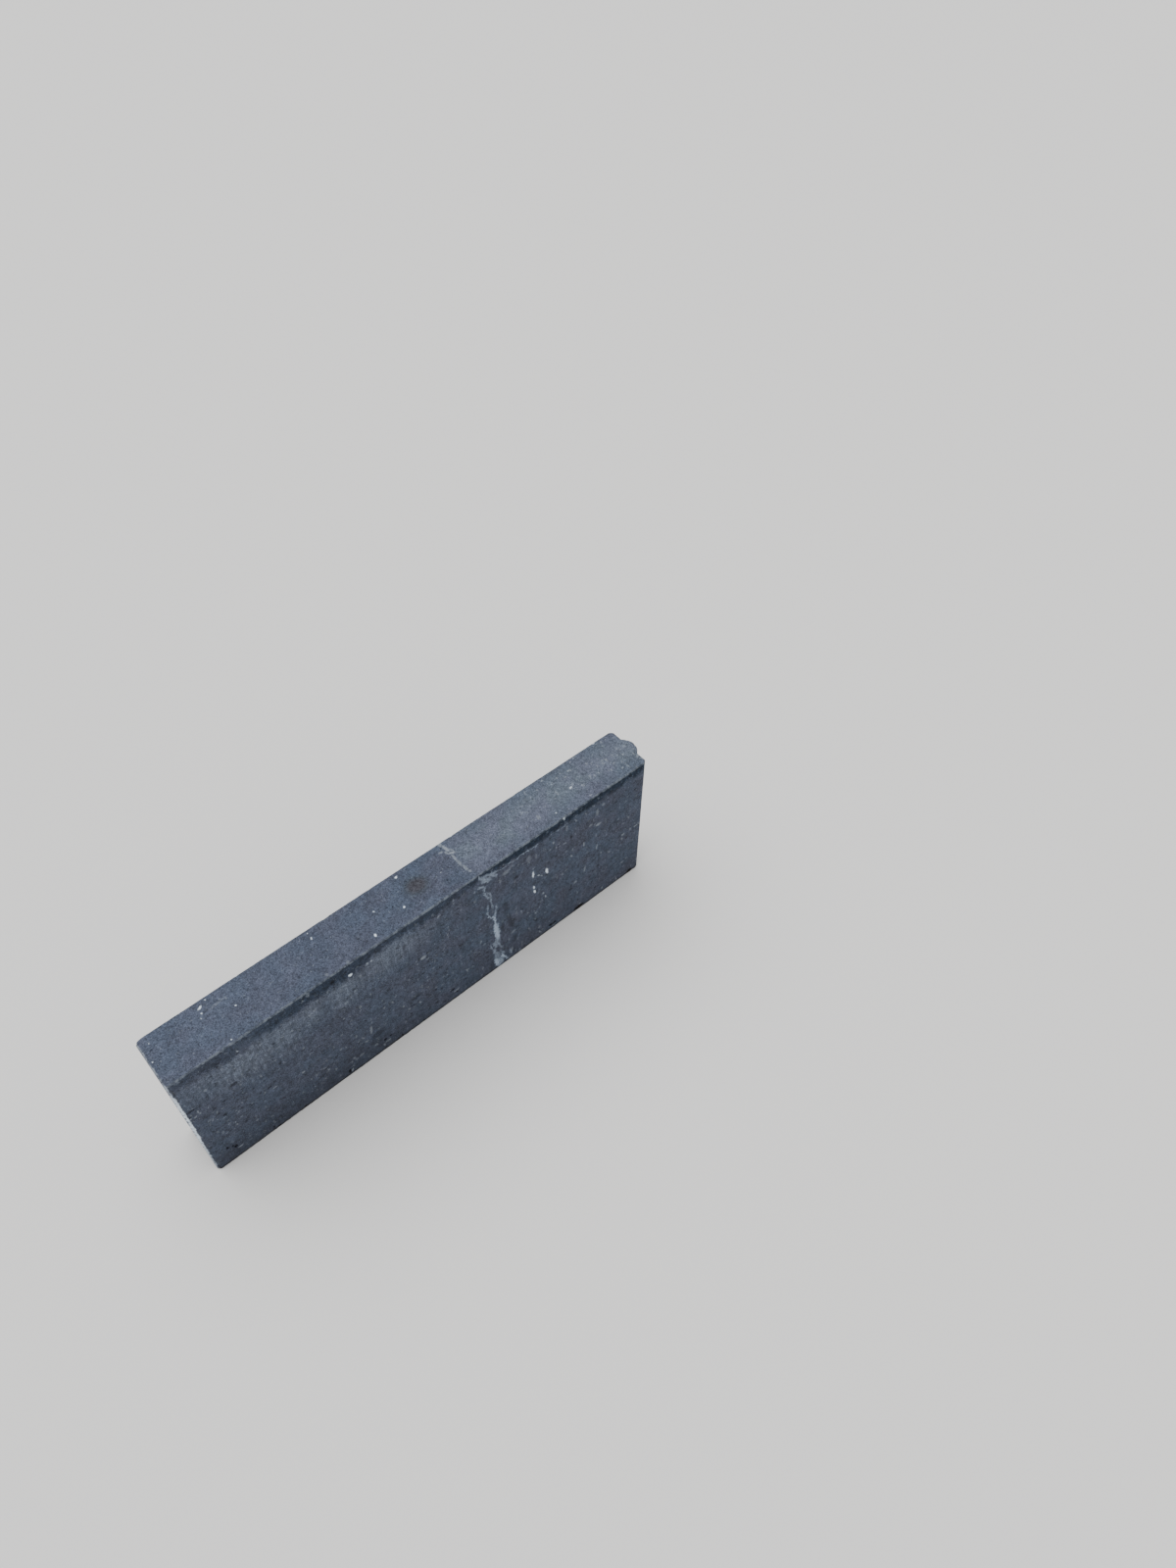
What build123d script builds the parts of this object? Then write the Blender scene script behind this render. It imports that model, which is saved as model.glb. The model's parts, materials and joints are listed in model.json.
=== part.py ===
"""Concrete kerb stone: a thin edging stone, cast in one piece.

It stands on its narrow bottom face. One end is plain. The other end has a
rounded tongue down its whole height, which seats in the groove of the next
stone in a run. All sizes are in millimetres.

Frame: the origin is at the centre of the bottom of the stone's box, +X runs
along the stone towards the tongue, +Y points from the front face to the back
face, and +Z is up.
"""

import os

from build123d import *

# Overall section and length
HEIGHT = 200.0
THICKNESS = 60.0
BODY_LENGTH = 583.0  # from the plain end to the shoulders beside the tongue

# Tongue: an arc in plan, with hollow roots where it meets the shoulders
TONGUE_DEPTH = 7.0
TONGUE_WIDTH = 26.0
TONGUE_ROOT_RADIUS = 3.0

# Broken edges left by the mould
PLAIN_END_CHAMFER = 3.0  # vertical corners of the plain end
TONGUE_END_CHAMFER = 4.0  # vertical corners of the shoulders
TOP_ARRIS = 1.5  # all round the top face

# Stations along X, with the whole length centred on the origin
TOTAL_LENGTH = BODY_LENGTH + TONGUE_DEPTH
PLAIN_END_X = -TOTAL_LENGTH / 2
SHOULDER_X = PLAIN_END_X + BODY_LENGTH
NOSE_X = SHOULDER_X + TONGUE_DEPTH

TOLERANCE = 0.001


def plan_outline():
    """The stone seen from above: a long rectangle with the tongue's arc."""
    half_thickness = THICKNESS / 2
    half_tongue = TONGUE_WIDTH / 2
    with BuildLine() as outline:
        Polyline(
            (SHOULDER_X, -half_tongue),
            (SHOULDER_X, -half_thickness),
            (PLAIN_END_X, -half_thickness),
            (PLAIN_END_X, half_thickness),
            (SHOULDER_X, half_thickness),
            (SHOULDER_X, half_tongue),
        )
        ThreePointArc(
            (SHOULDER_X, half_tongue),
            (NOSE_X, 0),
            (SHOULDER_X, -half_tongue),
        )
    return outline.line


def vertical_edges(solid, x, y):
    """The upright edges of the solid at distance y either side of its middle plane."""
    uprights = solid.edges().filter_by(Axis.Z)
    return [
        edge
        for edge in uprights
        if abs(edge.center().X - x) < TOLERANCE and abs(abs(edge.center().Y) - y) < TOLERANCE
    ]


def kerb_stone():
    """The whole stone: the plan outline carried up to the height, with its edges broken."""
    stone = extrude(make_face(plan_outline()), amount=HEIGHT)
    stone = fillet(vertical_edges(stone, SHOULDER_X, TONGUE_WIDTH / 2), TONGUE_ROOT_RADIUS)
    stone = chamfer(vertical_edges(stone, SHOULDER_X, THICKNESS / 2), TONGUE_END_CHAMFER)
    stone = chamfer(vertical_edges(stone, PLAIN_END_X, THICKNESS / 2), PLAIN_END_CHAMFER)
    top_face = stone.faces().sort_by(Axis.Z)[-1]
    return chamfer(top_face.edges(), TOP_ARRIS)


os.makedirs("parts", exist_ok=True)
export_step(kerb_stone(), "parts/kerb_stone.step")
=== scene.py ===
"""Looks of the concrete kerb stone: worn cast faces, lime, dust and specks.

Everything is in metres unless a name or comment says millimetres. The tables
of marks are in millimetres on the stone, x along it from its middle, y across
it towards the back and z up.
"""

import json
import math
import random

import bmesh
import bpy
from mathutils import Matrix, Vector, noise

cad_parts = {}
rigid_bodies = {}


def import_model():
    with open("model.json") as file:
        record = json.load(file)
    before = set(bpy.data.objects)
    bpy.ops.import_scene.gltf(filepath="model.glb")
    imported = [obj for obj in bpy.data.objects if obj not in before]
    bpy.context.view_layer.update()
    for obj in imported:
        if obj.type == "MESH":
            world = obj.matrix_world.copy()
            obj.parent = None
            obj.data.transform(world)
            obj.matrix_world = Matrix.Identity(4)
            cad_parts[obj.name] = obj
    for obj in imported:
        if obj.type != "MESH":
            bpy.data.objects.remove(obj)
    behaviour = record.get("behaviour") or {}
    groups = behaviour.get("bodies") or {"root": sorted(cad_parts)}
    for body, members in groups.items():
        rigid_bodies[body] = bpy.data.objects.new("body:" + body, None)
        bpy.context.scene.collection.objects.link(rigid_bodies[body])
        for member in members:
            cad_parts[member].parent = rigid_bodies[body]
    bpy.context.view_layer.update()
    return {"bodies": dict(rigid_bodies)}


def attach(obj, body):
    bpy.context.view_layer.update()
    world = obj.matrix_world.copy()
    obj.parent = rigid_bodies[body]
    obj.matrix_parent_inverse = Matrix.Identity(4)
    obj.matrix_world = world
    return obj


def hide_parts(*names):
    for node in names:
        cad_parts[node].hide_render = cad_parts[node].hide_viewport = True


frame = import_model()

NODE = "kerb_stone"
BODY = next(iter(frame["bodies"]))
MM = 0.001

# The stone's own sizes in millimetres, as in the solid
HALF_LENGTH = 295.0
HALF_THICKNESS = 30.0
HEIGHT = 200.0
TONGUE_DEPTH = 7.0
TONGUE_WIDTH = 26.0
PLAIN_END_CHAMFER = 3.0
TONGUE_END_CHAMFER = 4.0
TOP_ARRIS = 1.5
SHOULDER = HALF_LENGTH - TONGUE_DEPTH
HALF_TONGUE = TONGUE_WIDTH / 2
NOSE_RADIUS = (HALF_TONGUE**2 + TONGUE_DEPTH**2) / (2 * TONGUE_DEPTH)

# Camera, solved from the corners of the stone in the photograph
CAMERA_PLACE = Vector((-0.2973, -0.5765, 1.1447))
CAMERA_AZIMUTH = 42.289  # degrees from +Y towards +X
CAMERA_ELEVATION = 51.055  # degrees looking down
CAMERA_ROLL = 1.4145  # degrees
CAMERA_LENS = 25.80  # millimetres, on a long side of 36
SENSOR_LONG_SIDE = 36.0

# Light
ROOM_STRENGTH = 0.65
SKY_STRENGTH = 2.7
SKY_ANGLE = 80.0  # degrees, how wide the source is
SKY_FROM = Vector((-0.3, 0.5, 2.0))

# Mesh and its wear, in millimetres
GRID_X = 2.35
GRID_Y = 2.0
GRID_Z = 2.25
EDGE_ROWS = (0.35, 0.45, 0.55, 0.7, 0.9, 1.2, 1.6)  # steps inwards from an edge
SKIN = 0.25  # how far the worn faces lie inside the solid's faces
LEAST_SKIN = 0.02  # the least that is left of that where the faces wave outwards
TOUCHING = 0.02  # how close to a face of the block a point counts as on it
BACK_CORNER_BREAK = 3.4  # the larger break of the plain end's back corner
BREAK_FROM, BREAK_FULL = 150.0, 185.0  # heights between which it grows
SEED = 7
PIT_MARGIN = 12.0  # how far random blow holes stay from the ends
FRONT_PIT_COUNT = 36
BACK_PIT_COUNT = 60
TOP_PIT_COUNT = 10
END_PIT_COUNT = 14

# Colours of the surface, as linear reflectances
BLUE_GREY = (0.057, 0.073, 0.107, 1.0)
BROWN_GREY = (0.063, 0.071, 0.102, 1.0)
DUST = (0.142, 0.167, 0.214, 1.0)
BLUE_DUST = (0.143, 0.163, 0.222, 1.0)
GREEN_DUST = (0.143, 0.172, 0.203, 1.0)
PALE = (0.270, 0.305, 0.350, 1.0)
LIME = (0.410, 0.500, 0.630, 1.0)
WHITE = (0.740, 0.840, 0.950, 1.0)
RUST_BROWN = (0.051, 0.050, 0.062, 1.0)
MOSS_GREY = (0.044, 0.056, 0.070, 1.0)
# The dark blue of the strip under the top edge of the front face
STRIP_BLUE = (0.010, 0.020, 0.037, 1.0)
SOIL = (0.030, 0.027, 0.024, 1.0)
BROKEN_GREY = (0.120, 0.128, 0.140, 1.0)
SHEEN = 0.18
BUMP_STRENGTH = 0.6
BUMP_HEIGHT = 0.35  # millimetres
STAIN = (-1.0, 2.0, HEIGHT)  # middle of the stain on the top face, in millimetres
FLOOR_COLOUR = (0.80, 0.795, 0.785, 1.0)
FLOOR_HALF_SIZE = 12.0  # metres
MARK_REACH = 6.0  # millimetres deep, so that a mark stays on its own face
SPOT_CORE, SPOT_RIM = 0.45, 1.15  # where a mark starts to fade and where it ends, in half sizes

# How much stronger marks are drawn than their tables say, and the most that some may reach
FRONT_WHITE_GAIN = 1.15
FRONT_PALE_GAIN = 1.35
TOP_WHITE_GAIN = 1.15
TOP_WHITE_SIZE = 0.8  # the specks on the top face are drawn smaller than their table says
TOP_PALE_GAIN = 1.15
TOP_LIME_GAIN, TOP_LIME_MOST = 1.5, 0.85
UPPER_LIME_GAIN, UPPER_LIME_MOST = 1.35, 0.90
LIME_COVER = 1.12  # of all the lime on the front face

# The dark strip under the top edge of the front face
STRIP_FOOT = (
    (-295, 187), (-262, 184), (-240, 180), (-205, 181), (-130, 181), (-88, 180), (-76, 188),
    (-40, 188), (-20, 183), (10, 184), (46, 186), (56, 194), (68, 189), (160, 187), (240, 187), (290, 189),
)
STRIP_DARKNESS = (
    (-295, 0.15), (-262, 0.40), (-240, 0.45), (-222, 0.25), (-205, 0.48), (-185, 0.72), (-100, 0.78),
    (-78, 0.66), (-20, 0.63), (10, 0.56), (46, 0.78), (70, 1.0), (290, 1.0),
)

# The pale bloom below it
BLOOM_STRENGTH = (
    (-295, 0.20), (-283, 0.35), (-262, 0.55), (-240, 0.85), (-222, 1.0), (-205, 0.75), (-182, 0.85),
    (-165, 0.50), (-152, 1.0), (-137, 0.40), (-126, 0.85), (-110, 1.0), (-88, 0.60), (-66, 0.95),
    (-40, 0.78), (-18, 0.48), (8, 0.22), (30, 0.06), (50, 0.0),
)
BLOOM_FOOT = (
    (-295, 145), (-262, 138), (-225, 128), (-182, 126), (-150, 142), (-118, 138), (-88, 146),
    (-60, 146), (-30, 148), (0, 154), (50, 168),
)

# White paint and specks on the front face: x, z, half width, half height, turn, strength
FRONT_WHITE = (
    (123.2, 135.5, 1.7, 6.8, 0, 0.75),
    (142.2, 125.0, 2.0, 6.4, -10, 1.0),
    (123.6, 110.5, 1.3, 3.8, -12, 0.72),
    (124.2, 101.8, 1.6, 4.2, -12, 0.92),
    (130.5, 127.5, 1.4, 2.6, -35, 0.28),
    (134.5, 123.0, 0.8, 4.0, -40, 0.15),
    (139.5, 77.0, 1.3, 3.0, -10, 0.26),
    (136.5, 86.5, 1.7, 2.2, -30, 0.20),
    (-104.0, 180.8, 2.5, 2.8, -20, 0.90),
    (-84.5, 180.5, 1.5, 2.2, -20, 0.25),
    (-80.0, 180.5, 1.6, 1.6, 0, 0.22),
    (-227.0, 182.5, 0.9, 1.8, -20, 0.30),
)

# Pale smudges on the front face, in the same order
FRONT_PALE = (
    (-24.5, 124.5, 4.4, 3.3, 0, 0.55),
    (-17.0, 126.0, 2.4, 1.6, 0, 0.20),
    (-99.5, 59.0, 1.8, 9.5, 6, 0.38),
    (-69.0, 82.5, 1.5, 3.0, -25, 0.32),
    (-79.5, 83.0, 1.5, 2.2, 20, 0.30),
    (-89.5, 124.5, 1.2, 2.6, 0, 0.30),
    (-58.0, 60.0, 2.2, 2.6, -10, 0.30),
    (-52.0, 46.5, 2.4, 2.2, 0, 0.30),
    (-38.0, 44.5, 1.5, 3.4, -20, 0.36),
    (-46.0, 44.0, 2.4, 1.4, 0, 0.22),
    (-107.5, 43.5, 3.2, 1.9, 30, 0.30),
    (-126.0, 28.5, 1.5, 3.2, -25, 0.30),
    (-117.0, 24.5, 3.8, 2.6, 0, 0.24),
    (-98.5, 24.0, 3.0, 2.2, -20, 0.26),
    (-84.0, 14.5, 4.2, 2.0, 0, 0.42),
    (-89.5, 11.5, 1.6, 3.0, 0, 0.34),
    (-131.5, 8.0, 1.5, 3.6, 15, 0.48),
    (-146.0, 14.0, 1.3, 3.0, 0, 0.20),
    (-265.0, 17.8, 3.4, 1.5, 0, 0.50),
    (-268.5, 107.0, 0.9, 4.2, 12, 0.24),
    (-275.0, 100.0, 1.1, 3.4, 18, 0.28),
    (-291.0, 126.0, 1.8, 1.6, 0, 0.46),
    (-286.0, 124.5, 1.7, 1.5, 0, 0.40),
    (-282.0, 130.0, 1.0, 3.6, 0, 0.46),
    (-281.0, 125.5, 1.2, 2.4, 0, 0.36),
    (-289.0, 131.5, 0.9, 3.0, 0, 0.25),
    (-292.0, 84.0, 1.5, 2.2, 0, 0.26),
    (-277.0, 73.0, 1.1, 3.2, -20, 0.25),
    (-273.0, 65.0, 1.3, 3.0, 20, 0.25),
    (-258.0, 62.0, 1.1, 2.8, -10, 0.30),
    (-251.0, 70.0, 3.0, 1.2, -40, 0.20),
    (-222.0, 82.0, 1.3, 3.4, 10, 0.30),
    (-211.0, 80.0, 3.4, 1.7, 0, 0.30),
    (-180.0, 70.5, 2.5, 2.3, 0, 0.42),
    (-171.0, 113.0, 1.6, 2.6, 0, 0.25),
    (-218.0, 116.0, 1.3, 2.8, -10, 0.34),
    (-238.5, 126.0, 1.1, 2.4, 0, 0.25),
    (-267.0, 156.0, 2.2, 2.8, 0, 0.32),
    (-155.0, 41.5, 1.5, 2.5, -20, 0.38),
    (-175.0, 47.0, 1.1, 2.2, -15, 0.20),
    (8.0, 135.0, 1.2, 2.4, 0, 0.34),
    (10.5, 141.0, 1.1, 2.2, -20, 0.28),
    (45.5, 160.0, 1.3, 2.8, 0, 0.24),
    (25.5, 41.5, 1.4, 3.0, -20, 0.34),
    (44.0, 60.0, 2.6, 1.1, 20, 0.20),
    (8.5, 16.5, 5.0, 2.4, 0, 0.32),
    (217.0, 145.5, 4.8, 2.4, 0, 0.52),
    (205.5, 153.5, 3.2, 2.6, 0, 0.30),
    (196.0, 126.5, 1.3, 4.8, 0, 0.55),
    (178.0, 120.5, 1.4, 3.8, -20, 0.42),
    (179.5, 131.0, 1.3, 4.0, 0, 0.30),
    (216.0, 104.0, 1.3, 4.8, 10, 0.50),
    (223.5, 176.0, 2.8, 2.8, 0, 0.36),
    (215.0, 169.0, 2.6, 7.5, 0, 0.30),
    (198.0, 76.0, 1.5, 6.8, 8, 0.34),
    (184.0, 63.0, 3.2, 2.8, 0, 0.32),
    (257.0, 91.0, 2.6, 2.6, 0, 0.42),
    (255.5, 84.0, 1.5, 2.8, -20, 0.36),
    (268.0, 92.0, 1.6, 2.4, -20, 0.30),
    (277.0, 91.0, 4.2, 1.4, 0, 0.40),
    (282.5, 91.0, 1.6, 2.4, -20, 0.40),
    (264.0, 118.0, 1.2, 3.8, -20, 0.30),
    (236.0, 75.5, 1.5, 2.6, -20, 0.30),
    (223.0, 86.0, 1.2, 3.2, -20, 0.28),
    (258.0, 34.0, 2.8, 2.2, -20, 0.32),
    (264.5, 36.5, 2.4, 1.8, 0, 0.26),
    (227.0, 9.5, 1.8, 2.5, 0, 0.36),
    (250.0, 6.5, 1.3, 4.6, -15, 0.32),
    (283.0, 18.0, 1.5, 2.8, -20, 0.40),
    (129.5, 12.0, 1.2, 3.6, -20, 0.40),
    (129.0, 23.0, 1.9, 2.9, 0, 0.30),
    (152.0, 168.5, 1.5, 2.6, -20, 0.46),
    (156.0, 156.5, 1.7, 2.4, -10, 0.36),
    (147.0, 160.0, 1.7, 1.8, 0, 0.25),
    (171.0, 178.0, 2.2, 6.0, 0, 0.24),
    (184.0, 181.0, 1.2, 3.8, -25, 0.34),
    (198.0, 180.5, 1.0, 2.8, -20, 0.30),
    (214.0, 127.0, 1.1, 2.8, 10, 0.25),
    (187.0, 38.0, 0.9, 4.2, -10, 0.28),
    (191.0, 10.5, 1.7, 2.0, 0, 0.35),
    (98.0, 85.0, 1.3, 4.5, 0, 0.20),
    (92.0, 52.5, 4.2, 2.8, 0, 0.26),
    (114.0, 35.0, 1.5, 3.2, -20, 0.24),
    (88.0, 18.0, 1.8, 5.5, 10, 0.30),
    (103.0, 14.0, 1.0, 8.5, 0, 0.20),
    (87.0, 174.0, 5.5, 4.5, 0, 0.26),
    (95.0, 177.5, 4.0, 2.6, 0, 0.20),
    (118.0, 170.0, 4.0, 7.0, 0, 0.18),
    (128.0, 166.0, 1.6, 5.5, 0, 0.22),
)

# Dark spots and drips on the front face, in the same order; the darkest, over the hollows at its foot, are
# soil and painted shade in them
FRONT_DARK = (
    (-243.0, 134.0, 6.5, 3.2, 0, 0.40),
    (-258.0, 118.0, 3.2, 2.4, 0, 0.40),
    (-263.0, 94.0, 3.4, 3.2, 0, 0.38),
    (-216.0, 87.0, 4.4, 2.8, 0, 0.34),
    (-287.5, 138.5, 7.0, 2.6, 0, 0.44),
    (-195.5, 155.5, 2.4, 2.2, 0, 0.40),
    (-168.0, 146.0, 1.6, 3.2, 0, 0.40),
    (-123.0, 188.0, 3.6, 5.5, 0, 0.50),
    (-74.0, 190.0, 1.8, 4.5, 0, 0.40),
    (-93.0, 42.0, 10.0, 6.5, 0, 0.34),
    (-41.0, 60.0, 7.5, 4.4, 0, 0.34),
    (-157.0, 46.5, 4.5, 4.0, 0, 0.30),
    (-280.0, 110.0, 5.5, 7.5, 0, 0.20),
    (100.5, 152.5, 5.5, 4.6, -30, 0.42),
    (93.0, 135.0, 6.5, 5.5, 0, 0.22),
    (84.0, 108.0, 4.2, 20.0, -5, 0.34),
    (88.5, 78.0, 4.2, 22.0, -8, 0.38),
    (78.0, 74.0, 3.0, 18.0, 0, 0.30),
    (93.0, 39.0, 5.5, 10.0, 0, 0.34),
    (58.5, 14.0, 3.4, 15.0, 0, 0.28),
    (143.0, 117.5, 1.7, 2.8, -30, 0.36),
    (177.5, 158.0, 2.4, 5.5, 0, 0.36),
    (233.0, 188.0, 6.5, 4.5, 0, 0.28),
    (219.0, 60.0, 1.6, 40.0, 0, 0.18),
    (186.0, 172.0, 2.5, 11.0, -20, 0.20),
    (149.5, 9.0, 5.5, 3.2, 0, 0.60),
    (190.0, 4.0, 9.0, 4.6, 0, 0.80),
    (271.5, 3.0, 5.5, 3.4, 0, 0.80),
    (-72.0, 1.5, 4.5, 4.5, 0, 0.50),
)

# Strokes of lime on the front face, its upper part: from x, z to x, z, half width, strength
UPPER_LIME = (
    (53.5, 196.0, 60.0, 184.0, 2.8, 0.36),
    (56.0, 193.0, 76.0, 186.5, 3.0, 0.36),
    (58.0, 186.0, 66.0, 180.5, 4.2, 0.34),
    (70.0, 187.0, 75.0, 179.0, 2.8, 0.28),
    (51.0, 179.0, 59.0, 173.5, 2.0, 0.36),
    (58.5, 176.0, 58.0, 162.0, 1.5, 0.32),
    (58.5, 164.0, 60.5, 152.0, 1.6, 0.34),
    (60.5, 153.0, 66.5, 146.5, 2.2, 0.34),
    (61.5, 161.0, 67.0, 149.0, 1.8, 0.26),
    (66.0, 149.0, 66.0, 136.0, 1.5, 0.26),
    (61.0, 136.0, 60.0, 127.0, 1.4, 0.24),
    (59.5, 128.0, 59.8, 119.0, 1.2, 0.30),
    (59.6, 121.0, 62.0, 112.5, 1.2, 0.48),
    (61.5, 113.5, 67.5, 106.5, 1.3, 0.54),
    (66.5, 137.0, 67.5, 126.0, 1.3, 0.24),
    (72.5, 128.0, 70.5, 116.0, 1.7, 0.24),
    (70.5, 119.0, 68.5, 107.0, 1.9, 0.34),
    (67.2, 109.0, 68.5, 94.0, 1.8, 0.72),
)

# The rest of the lime: the streak, its foot, and the run beside its top
LOWER_LIME = (
    (68.5, 100.0, 69.5, 54.0, 3.2, 0.92),
    (71.0, 92.0, 71.8, 54.0, 2.2, 0.66),
    (59.0, 57.5, 72.5, 56.0, 1.1, 0.50),
    (59.5, 57.0, 62.0, 45.0, 1.1, 0.34),
    (67.5, 55.0, 72.5, 44.0, 1.2, 0.55),
    (65.0, 56.0, 67.0, 46.0, 2.6, 0.38),
    (63.0, 44.0, 66.0, 32.0, 2.0, 0.42),
    (70.5, 45.0, 76.0, 35.0, 1.8, 0.36),
    (66.0, 34.0, 68.0, 22.0, 3.8, 0.32),
    (72.5, 31.0, 77.5, 21.0, 1.8, 0.40),
    (64.5, 21.0, 67.0, 8.0, 3.2, 0.95),
    (69.5, 20.0, 69.5, 10.0, 1.8, 0.74),
    (73.5, 22.0, 76.0, 14.0, 2.4, 0.95),
    (75.5, 17.0, 81.5, 6.5, 1.6, 0.84),
    (71.5, 16.0, 74.0, 4.0, 3.2, 0.56),
    (66.0, 10.0, 71.0, 2.0, 3.6, 0.68),
    (84.5, 22.0, 87.0, 9.0, 1.3, 0.40),
    (78.0, 9.0, 84.0, 1.5, 1.6, 0.36),
    (98.5, 8.0, 100.0, 1.0, 1.0, 0.34),
    (78.0, 185.5, 91.0, 184.0, 1.1, 0.32),
    (88.0, 187.5, 98.5, 183.5, 1.1, 0.44),
    (101.0, 183.0, 107.0, 186.5, 1.2, 0.40),
    (105.0, 186.0, 122.0, 185.5, 1.2, 0.44),
    (120.0, 185.0, 132.0, 184.0, 1.2, 0.34),
    (145.0, 184.5, 152.0, 186.5, 1.1, 0.28),
    (154.0, 185.5, 162.0, 185.5, 1.1, 0.26),
    (164.0, 183.5, 172.0, 186.5, 1.2, 0.24),
)

# White specks on the top face: x, y, half length, half width, turn, strength
TOP_WHITE = (
    (-232.5, 21.3, 4.0, 1.3, 25, 0.72),
    (-224.5, 25.5, 1.4, 1.1, 0, 0.50),
    (-234.0, 15.0, 1.3, 1.4, 0, 0.62),
    (-236.8, 10.5, 0.7, 1.8, 20, 0.32),
    (-285.0, 19.0, 1.1, 0.9, 0, 0.40),
    (-291.0, 0.5, 1.2, 1.5, 0, 0.45),
    (-206.0, 2.0, 1.3, 1.4, 0, 0.66),
    (-190.5, 29.5, 3.2, 1.3, -15, 0.55),
    (-114.0, 25.0, 0.9, 1.1, 0, 0.50),
    (-114.0, 17.8, 1.2, 1.8, 0, 0.55),
    (-51.0, 4.0, 1.4, 1.2, 0, 0.50),
    (-65.0, -19.5, 2.0, 2.1, 0, 1.0),
    (-25.0, -11.0, 1.7, 1.8, 0, 0.82),
    (-10.8, 23.4, 2.6, 1.5, 25, 0.90),
    (28.0, 29.6, 1.2, 1.3, 0, 0.62),
    (62.5, 29.3, 4.0, 1.2, 0, 0.85),
    (27.0, -1.5, 1.1, 0.9, 0, 0.28),
    (199.0, -3.2, 3.4, 1.6, 25, 0.52),
    (165.0, -19.0, 1.3, 1.2, 0, 0.55),
    (167.5, -29.4, 1.8, 1.4, 30, 0.60),
    (259.5, 28.4, 2.4, 1.5, 0, 0.55),
    (-226.5, -26.0, 1.4, 1.5, 0, 0.50),
)

# Pale smudges on the top face, in the same order
TOP_PALE = (
    (147.0, -11.5, 2.6, 3.6, 0, 0.42),
    (234.0, 11.0, 2.0, 2.6, -20, 0.30),
    (-218.0, 15.0, 11.0, 1.6, 8, 0.18),
    (-209.0, 14.5, 1.2, 2.0, 0, 0.28),
    (-169.0, 1.0, 3.2, 1.0, 10, 0.20),
    (-124.5, -25.5, 2.4, 2.0, 0, 0.24),
    (-102.0, -27.0, 2.2, 2.4, 0, 0.24),
    (225.0, -5.0, 1.6, 3.4, -20, 0.26),
    (250.0, 3.5, 1.8, 1.8, 0, 0.28),
    (254.5, 0.0, 1.4, 2.4, 0, 0.26),
    (263.5, 2.0, 1.2, 2.4, 0, 0.26),
    (276.0, 3.0, 1.8, 1.5, 0, 0.30),
    (283.0, 3.5, 1.4, 1.6, 0, 0.30),
    (283.5, -12.0, 1.2, 2.6, 0, 0.42),
    (284.5, -17.0, 3.4, 2.0, 20, 0.46),
    (268.0, -2.0, 2.0, 1.4, 30, 0.20),
)

# Trace of lime across the top face, in the same order
TOP_LIME = (
    (46.5, 27.0, 2.4, 3.0, 0, 0.42),
    (48.5, 19.5, 2.0, 6.5, 8, 0.62),
    (41.5, 18.5, 3.2, 1.3, -10, 0.36),
    (46.0, 14.0, 1.6, 4.0, 20, 0.36),
    (50.5, 11.0, 4.4, 1.6, -25, 0.56),
    (52.0, 14.5, 1.4, 3.6, 25, 0.32),
    (48.5, 4.5, 1.8, 5.5, -5, 0.40),
    (48.5, -3.5, 2.2, 6.0, 0, 0.30),
    (49.5, -13.0, 2.0, 5.5, 0, 0.34),
    (51.0, -19.0, 1.5, 2.2, 0, 0.36),
)

# Hollows in the front face: x, z, half width, half height, depth
FRONT_PITS = (
    (-277.0, 31.0, 1.4, 2.8, 1.8),
    (-271.5, 27.5, 1.3, 3.0, 1.4),
    (-269.0, 23.0, 2.2, 3.0, 2.6),
    (-134.5, 8.0, 1.9, 4.6, 2.2),
    (-86.8, 20.2, 2.4, 2.4, 2.6),
    (-80.0, 20.5, 1.8, 2.2, 2.2),
    (-84.0, 14.5, 3.5, 1.8, 0.6),
    (4.5, 21.5, 3.4, 2.6, 1.4),
    (9.0, 12.0, 2.2, 1.8, 1.2),
    (25.5, 44.0, 2.2, 2.0, 0.8),
    (-47.0, 48.0, 4.2, 1.8, 0.8),
    (-17.0, 47.0, 1.8, 2.6, 0.8),
    (145.5, 9.5, 3.0, 2.4, 2.0),
    (152.5, 9.0, 2.4, 2.4, 1.8),
    (216.0, 20.5, 2.6, 1.8, 1.2),
    (-292.0, 137.5, 2.4, 1.6, 0.8),
    (-286.0, 138.5, 3.6, 1.6, 0.8),
    (-285.0, 127.0, 1.4, 3.6, 0.6),
    (-289.5, 129.0, 1.2, 2.6, 0.5),
    (-243.0, 134.0, 5.0, 2.2, 0.6),
    (-258.0, 118.0, 2.4, 1.8, 0.6),
    (-263.0, 93.5, 2.4, 2.2, 0.8),
    (-216.0, 86.5, 3.4, 1.8, 0.6),
    (-222.0, 79.5, 1.6, 2.0, 0.6),
    (-157.0, 46.0, 3.0, 1.8, 0.7),
    (-195.5, 155.5, 2.0, 1.8, 0.6),
    (-123.0, 188.0, 2.6, 3.6, 0.5),
    (-168.0, 146.0, 1.4, 2.6, 0.5),
    (-41.0, 60.5, 4.0, 2.4, 0.6),
    (-228.5, 7.0, 1.6, 2.4, 1.3),
    (-223.0, 1.5, 2.4, 2.4, 1.4),
    (-191.0, 2.0, 1.6, 3.0, 1.4),
    (-118.0, 30.0, 2.2, 1.6, 0.8),
    (-108.0, 27.0, 1.8, 2.0, 0.8),
    (-66.5, 4.0, 1.6, 3.0, 1.4),
    (100.5, 152.5, 4.0, 3.4, 0.5),
    (177.5, 156.0, 1.8, 2.6, 0.7),
    (128.0, 17.5, 1.6, 2.0, 0.9),
    (-86.0, 190.0, 1.4, 3.0, 0.4),
    (239.5, 112.0, 1.6, 2.6, 0.5),
    (190.0, 5.0, 8.0, 2.4, 2.2),
    (271.5, 4.5, 4.6, 2.2, 2.0),
)

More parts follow.
